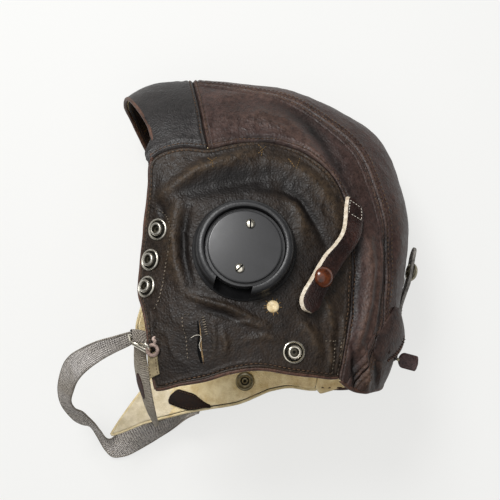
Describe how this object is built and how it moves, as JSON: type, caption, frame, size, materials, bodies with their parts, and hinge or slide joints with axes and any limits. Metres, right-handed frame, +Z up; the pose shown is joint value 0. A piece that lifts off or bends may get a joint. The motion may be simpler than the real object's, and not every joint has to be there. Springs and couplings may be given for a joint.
{
  "type": "flying helmet",
  "caption": "Leather flying helmet with rubber-ringed receivers, press studs, snap goggle tabs, chamois lining and a webbing chin strap.",
  "frame": {"origin": "centre of the bounding box's footprint, on the table the helmet lies on", "axes": "+Z up from the table towards the wearer's left, +Y towards the crown, +X towards the wearer's back"},
  "size_m": [0.2977, 0.325, 0.1705],
  "materials": {
    "crown_leather": "worn matt",
    "ear_leather": "worn matt",
    "brow_leather": "smooth satin",
    "strap_leather": "satin",
    "chamois": "napped matt",
    "cream_leather": "matt",
    "rubber": "semi-gloss",
    "moulded_plastic": "satin",
    "nickel_plate": "plated bright",
    "steel": "plain",
    "copper_wire": "enamelled",
    "webbing": "woven cotton"
  },
  "bodies": {
    "shell": {"brow_panel": "brow_leather", "crown_strip": "crown_leather", "nape_skirt": "crown_leather", "crown_panel_left": "crown_leather", "ear_panel_left": "ear_leather", "lining_left": "chamois", "crown_panel_right": "crown_leather", "ear_panel_right": "ear_leather", "lining_right": "chamois", "lining_crown": "chamois", "receiver_housing_left": "rubber", "receiver_case_left": "moulded_plastic", "receiver_magnet_left": "steel", "receiver_coil_left": "copper_wire", "receiver_diaphragm_left": "steel", "receiver_ear_cap_left": "moulded_plastic", "ear_pad_left": "chamois", "terminal_screw_upper_left": "nickel_plate", "terminal_screw_lower_left": "nickel_plate", "receiver_housing_right": "rubber", "receiver_case_right": "moulded_plastic", "receiver_magnet_right": "steel", "receiver_coil_right": "copper_wire", "receiver_diaphragm_right": "steel", "receiver_ear_cap_right": "moulded_plastic", "ear_pad_right": "chamois", "terminal_screw_upper_right": "nickel_plate", "terminal_screw_lower_right": "nickel_plate", "mask_stud_left_1": "nickel_plate", "mask_stud_left_2": "nickel_plate", "mask_stud_left_3": "nickel_plate", "lead_stud_left": "nickel_plate", "lead_stud_back_left": "steel", "mask_stud_right_1": "nickel_plate", "mask_stud_right_2": "nickel_plate", "mask_stud_right_3": "nickel_plate", "lead_stud_right": "nickel_plate", "lead_stud_back_right": "steel", "lead_eyelet_left": "cream_leather", "goggle_tab_sewn_left": "strap_leather", "goggle_stud_left": "nickel_plate", "goggle_tab_sewn_right": "strap_leather", "goggle_stud_right": "nickel_plate", "goggle_tab_sewn_rear": "strap_leather", "goggle_stud_rear": "nickel_plate", "chin_chape": "cream_leather", "cheek_tab_right": "strap_leather", "chin_buckle_frame": "nickel_plate", "chin_webbing": "webbing", "nape_strap": "strap_leather", "nape_buckle_bar": "nickel_plate"},
    "goggle_tab_left": {"goggle_tab_left": "strap_leather", "goggle_tab_cap_left": "strap_leather"},
    "goggle_tab_right": {"goggle_tab_right": "strap_leather", "goggle_tab_cap_right": "strap_leather"},
    "goggle_tab_rear": {"goggle_tab_rear": "strap_leather", "goggle_tab_cap_rear": "strap_leather"},
    "buckle_roller": {"chin_buckle_roller": "nickel_plate"},
    "strap_tail": {"chin_strap_tail": "webbing"},
    "nape_end": {"nape_strap_end": "strap_leather"}
  },
  "joints": [
    {"name": "goggle_tab_left_hinge", "type": "hinge", "parent": "shell", "child": "goggle_tab_left", "pos_m": [0.08854, 0.04842, 0.13274], "axis": [-0.9064, 0.3329, 0.2602], "range_deg": [0, 110]},
    {"name": "goggle_tab_right_hinge", "type": "hinge", "parent": "shell", "child": "goggle_tab_right", "pos_m": [0.08146, 0.01639, 0.00434], "axis": [0.9473, -0.2012, 0.2492], "range_deg": [0, 110]},
    {"name": "goggle_tab_rear_hinge", "type": "hinge", "parent": "shell", "child": "goggle_tab_rear", "pos_m": [0.13311, -0.02192, 0.07668], "axis": [-0.053, -0.2413, -0.969], "range_deg": [0, 100]},
    {"name": "buckle_roller_spin", "type": "hinge", "parent": "shell", "child": "buckle_roller", "pos_m": [-0.06657, -0.04503, 0.15737], "axis": [0.8538, -0.4269, 0.2978], "continuous": true},
    {"name": "strap_tail_hinge", "type": "hinge", "parent": "shell", "child": "strap_tail", "pos_m": [-0.06657, -0.04503, 0.15737], "axis": [-0.8538, 0.4269, -0.2978], "range_deg": [0, 70]},
    {"name": "nape_end_hinge", "type": "hinge", "parent": "shell", "child": "nape_end", "pos_m": [0.12797, -0.0637, 0.08313], "axis": [0, 0, 1], "range_deg": [-60, 60]}
  ]
}
